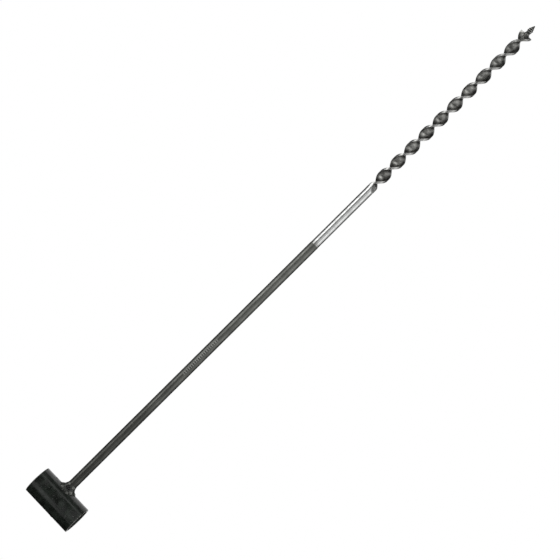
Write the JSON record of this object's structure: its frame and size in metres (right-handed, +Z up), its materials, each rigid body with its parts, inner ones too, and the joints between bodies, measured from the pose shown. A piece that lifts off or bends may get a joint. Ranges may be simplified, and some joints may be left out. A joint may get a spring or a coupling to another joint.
{
  "type": "soil auger",
  "caption": "Long hand auger with a welded cross-tube eye for a handle, a round shank, a twisted double flight and a screw point.",
  "frame": {"origin": "middle of the eye's bore, on the tool's own axis", "axes": "+Z up the tool from the screw point to the eye; +X along the eye's bore"},
  "size_m": [0.08, 0.0429, 0.9469],
  "materials": {
    "black_paint": "gloss black paint over a sawn steel tube",
    "painted_weld": "black paint over a lumpy weld bead",
    "black_rod": "satin black over a drawn steel rod",
    "ground_steel": "ground bright, fine turning marks",
    "forged_steel": "dark forged flutes with ground bright edges",
    "dark_steel": "dark oxidised, cut thread"
  },
  "bodies": {
    "root": {"eye_tube": "black_paint", "eye_weld": "painted_weld", "weld_spatter": "painted_weld", "shank_rod": "black_rod", "auger_neck": "ground_steel", "auger_twist": "forged_steel", "cutting_head": "forged_steel", "lead_screw": "dark_steel"}
  },
  "joints": []
}
